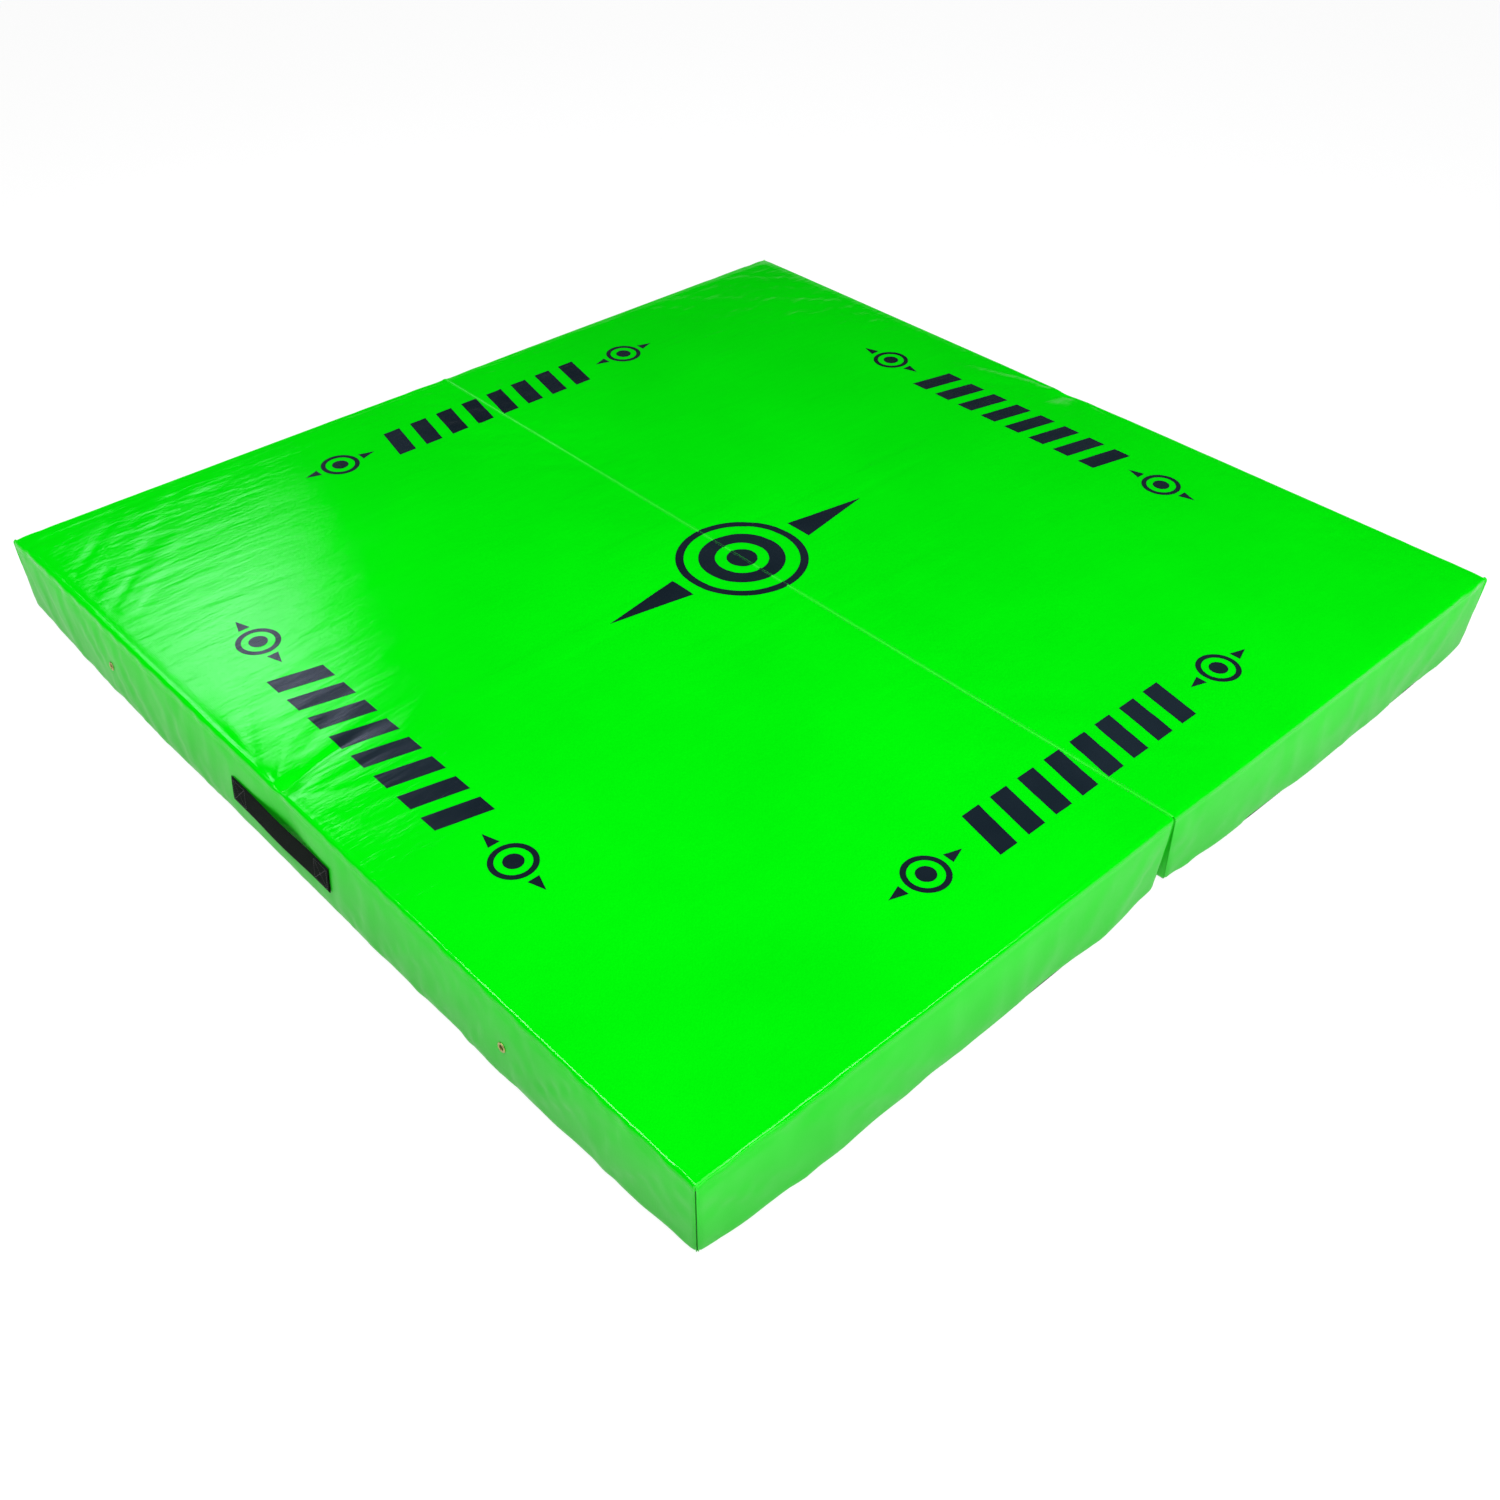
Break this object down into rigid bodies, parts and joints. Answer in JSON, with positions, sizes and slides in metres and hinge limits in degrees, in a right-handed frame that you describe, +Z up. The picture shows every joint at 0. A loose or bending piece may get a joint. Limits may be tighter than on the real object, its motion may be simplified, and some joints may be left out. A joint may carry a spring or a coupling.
{
  "type": "crash landing mat",
  "caption": "Folding foam crash mat: zipped vinyl covers over foam panels, hinged at the top, with webbing carry handles.",
  "frame": {"origin": "bottom centre of the unfolded mat, on the floor under the fold line", "axes": "+Z up from the floor, X across the fold from panel a to panel b, +Y along the fold towards the zipped end walls"},
  "size_m": [2.0632, 2.0229, 0.1509],
  "materials": {
    "pvc": "gloss",
    "base": "matte",
    "foam": "matte",
    "webbing": "matte",
    "brass": "satin",
    "zip_tape": "matte",
    "zip_coil": "satin",
    "zip_metal": "satin",
    "print": "satin"
  },
  "bodies": {
    "panel_a": {"foam_core_a": "foam", "cover_shell_a": "pvc", "inner_wall_a": "pvc", "base_sheet_a": "base", "outer_near_corner_welt_a": "pvc", "outer_far_corner_welt_a": "pvc", "inner_near_corner_welt_a": "pvc", "inner_far_corner_welt_a": "pvc", "fold_welt_a": "pvc", "carry_handle_a": "webbing", "handle_patch_a": "pvc", "vent_eyelet_near_a": "brass", "vent_eyelet_far_a": "brass", "eyelet_washer_near_a": "brass", "eyelet_washer_far_a": "brass", "zip_tape_upper_a": "zip_tape", "zip_tape_lower_a": "zip_tape", "zip_coil_upper_a": "zip_coil", "zip_coil_lower_a": "zip_coil", "zip_fold_stop_a": "zip_metal", "zip_outer_stop_a": "zip_metal"},
    "zip_slider_a": {"zip_slider_a": "zip_metal"},
    "zip_pull_a": {"zip_pull_a": "zip_metal"},
    "panel_b": {"foam_core_b": "foam", "cover_shell_b": "pvc", "inner_wall_b": "pvc", "base_sheet_b": "base", "outer_near_corner_welt_b": "pvc", "outer_far_corner_welt_b": "pvc", "inner_near_corner_welt_b": "pvc", "inner_far_corner_welt_b": "pvc", "fold_welt_b": "pvc", "carry_handle_b": "webbing", "handle_patch_b": "pvc", "vent_eyelet_near_b": "brass", "vent_eyelet_far_b": "brass", "eyelet_washer_near_b": "brass", "eyelet_washer_far_b": "brass", "zip_tape_upper_b": "zip_tape", "zip_tape_lower_b": "zip_tape", "zip_coil_upper_b": "zip_coil", "zip_coil_lower_b": "zip_coil", "zip_fold_stop_b": "zip_metal", "zip_outer_stop_b": "zip_metal"},
    "zip_slider_b": {"zip_slider_b": "zip_metal"},
    "zip_pull_b": {"zip_pull_b": "zip_metal"}
  },
  "joints": [
    {"name": "fold_hinge", "type": "hinge", "parent": "panel_a", "child": "panel_b", "pos_m": [0, 0, 0.1512], "axis": [0, -1, 0], "range_deg": [0, 180]},
    {"name": "zip_slide_a", "type": "slide", "parent": "panel_a", "child": "zip_slider_a", "axis": [1, 0, 0], "range_m": [0, 0.77]},
    {"name": "zip_pull_hinge_a", "type": "hinge", "parent": "zip_slider_a", "child": "zip_pull_a", "pos_m": [-0.885, 1.0057, 0.04], "axis": [0, 0, 1], "range_deg": [0, 180]},
    {"name": "zip_slide_b", "type": "slide", "parent": "panel_b", "child": "zip_slider_b", "axis": [-1, 0, 0], "range_m": [0, 0.77]},
    {"name": "zip_pull_hinge_b", "type": "hinge", "parent": "zip_slider_b", "child": "zip_pull_b", "pos_m": [0.885, 1.0057, 0.04], "axis": [0, 0, -1], "range_deg": [0, 180]}
  ]
}
